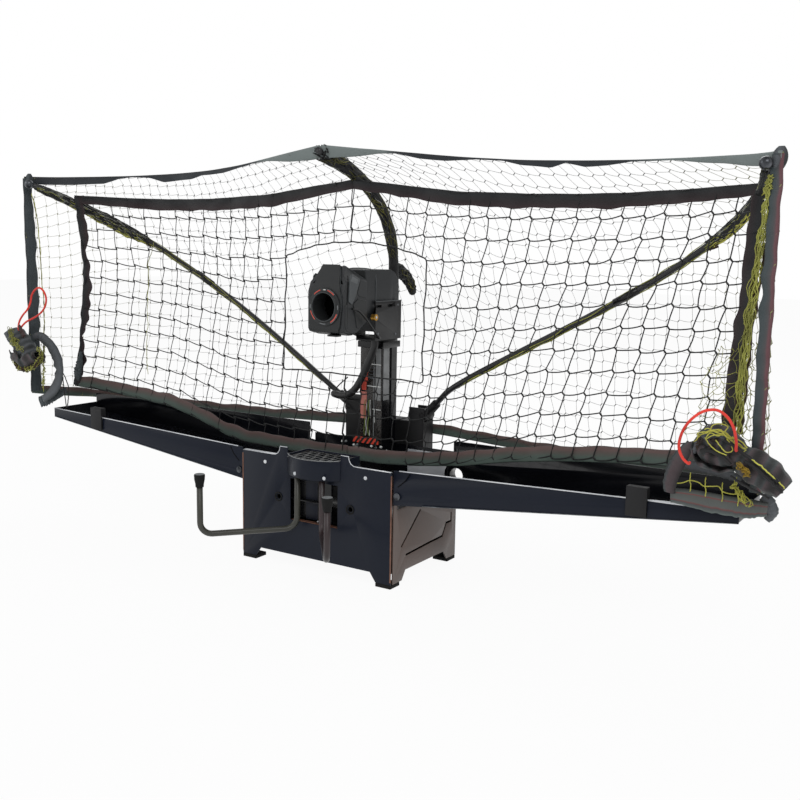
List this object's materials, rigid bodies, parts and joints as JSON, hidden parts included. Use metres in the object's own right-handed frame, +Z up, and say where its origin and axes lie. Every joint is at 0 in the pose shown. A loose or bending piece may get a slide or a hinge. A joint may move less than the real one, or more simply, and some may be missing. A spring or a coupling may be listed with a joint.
{
  "type": "table tennis robot with ball-catch net",
  "caption": "Table tennis robot: steel base, folding troughs, catch net on three poles, and a panning, tilting throwing head on a column.",
  "frame": {"origin": "centre of the bounding box on the surface the feet stand on", "axes": "+X along the troughs to the right seen from the front, +Y towards the back of the net, +Z up"},
  "size_m": [1.6301, 0.5026, 0.7675],
  "materials": {
    "painted_steel": "glossy",
    "black_plastic": "satin",
    "head_plastic": "satin",
    "clear_cover": "glossy",
    "rubber": "matte",
    "foam": "matte",
    "brass": "satin",
    "steel": "satin",
    "pole_tube": "satin",
    "net_black": "woven",
    "net_grey": "woven",
    "net_yellow": "woven",
    "hem_fabric": "woven",
    "red_cord": "braided",
    "cable": "satin"
  },
  "bodies": {
    "base": {"front_panel": "painted_steel", "back_panel": "painted_steel", "left_side_panel": "painted_steel", "right_side_panel": "painted_steel", "chassis_plate": "painted_steel", "ball_tray": "painted_steel", "collar_cup": "painted_steel", "column_cover": "painted_steel", "lift_pot": "black_plastic", "collar_grille": "black_plastic", "column_channel": "black_plastic", "column_collar": "clear_cover", "rear_housing": "head_plastic", "left_front_foot": "rubber", "right_front_foot": "rubber", "left_rear_foot": "rubber", "right_rear_foot": "rubber", "left_hinge_pin": "steel", "right_hinge_pin": "steel", "lift_motor": "steel", "centre_pole_tube": "pole_tube", "centre_pole": "pole_tube", "net_tail": "net_black", "left_front_net": "net_black", "right_front_net": "net_black", "left_outer_net": "net_grey", "right_outer_net": "net_grey", "left_net_bundle": "hem_fabric", "right_net_bundle": "hem_fabric", "left_red_loop": "red_cord", "right_red_loop": "red_cord", "head_harness": "cable"},
    "lift_wheel": {"lift_wheel": "rubber"},
    "left_arm": {"left_hook_arm": "pole_tube", "left_arm_cap": "rubber"},
    "left_wing": {"left_wing_front_wall": "painted_steel", "left_wing_floor": "painted_steel", "left_wing_back_wall": "painted_steel", "left_wing_clip": "black_plastic"},
    "left_pole": {"left_pole": "pole_tube", "left_pole_knuckle": "black_plastic", "left_pole_knob": "black_plastic"},
    "right_arm": {"right_hook_arm": "pole_tube", "right_arm_cap": "rubber"},
    "right_wing": {"right_wing_front_wall": "painted_steel", "right_wing_floor": "painted_steel", "right_wing_back_wall": "painted_steel", "right_wing_clip": "black_plastic"},
    "right_pole": {"right_pole": "pole_tube", "right_pole_knuckle": "black_plastic", "right_pole_knob": "black_plastic"},
    "yoke": {"turntable": "black_plastic", "yoke": "black_plastic", "head_lead": "cable"},
    "tilt_knob": {"tilt_knob": "brass"},
    "head": {"elbow_housing": "head_plastic", "head_shell": "head_plastic", "nozzle_ring": "black_plastic", "throwing_motor": "steel"},
    "throwing_wheel": {"throwing_wheel": "foam"}
  },
  "joints": [
    {"name": "head_pan", "type": "hinge", "parent": "base", "child": "yoke", "pos_m": [0, 0.11291, 0.414], "axis": [0, 0, 1], "range_deg": [-20, 20], "deforming": ["head_harness"]},
    {"name": "head_tilt", "type": "hinge", "parent": "yoke", "child": "head", "pos_m": [0, 0.10091, 0.487], "axis": [-1, 0, 0], "range_deg": [-5, 20], "deforming": ["head_lead"]},
    {"name": "throwing_wheel_spin", "type": "hinge", "parent": "head", "child": "throwing_wheel", "pos_m": [0, -0.02909, 0.526], "axis": [1, 0, 0], "continuous": true},
    {"name": "tilt_knob_turn", "type": "hinge", "parent": "yoke", "child": "tilt_knob", "pos_m": [0.043, 0.02491, 0.466], "axis": [1, 0, 0], "continuous": true},
    {"name": "lift_wheel_spin", "type": "hinge", "parent": "base", "child": "lift_wheel", "pos_m": [0, 0.01691, 0.09], "axis": [0, 0, 1], "continuous": true},
    {"name": "left_wing_fold", "type": "hinge", "parent": "base", "child": "left_wing", "pos_m": [-0.18, 0.00491, 0.169], "axis": [0, 1, 0], "range_deg": [0, 88], "deforming": ["left_outer_net", "left_front_net", "left_net_bundle", "left_red_loop"]},
    {"name": "left_pole_swing", "type": "hinge", "parent": "base", "child": "left_pole", "pos_m": [-0.086, 0.15121, 0.2713], "axis": [0, 1, 0], "range_deg": [0, 57]},
    {"name": "left_arm_swivel", "type": "hinge", "parent": "base", "child": "left_arm", "pos_m": [-0.028, -0.10709, 0.1], "axis": [0, 0, -1], "range_deg": [-38, 45]},
    {"name": "right_wing_fold", "type": "hinge", "parent": "base", "child": "right_wing", "pos_m": [0.18, 0.00491, 0.169], "axis": [0, -1, 0], "range_deg": [0, 88], "deforming": ["right_outer_net", "right_front_net", "right_net_bundle", "right_red_loop"]},
    {"name": "right_pole_swing", "type": "hinge", "parent": "base", "child": "right_pole", "pos_m": [0.086, 0.15121, 0.2713], "axis": [0, -1, 0], "range_deg": [0, 57]},
    {"name": "right_arm_swivel", "type": "hinge", "parent": "base", "child": "right_arm", "pos_m": [0.028, -0.10709, 0.1], "axis": [0, 0, 1], "range_deg": [-38, 45]}
  ],
  "couplings": [
    {"joint": "left_pole_swing", "follows": "left_wing_fold", "ratio": 0.645},
    {"joint": "right_pole_swing", "follows": "right_wing_fold", "ratio": 0.645}
  ]
}
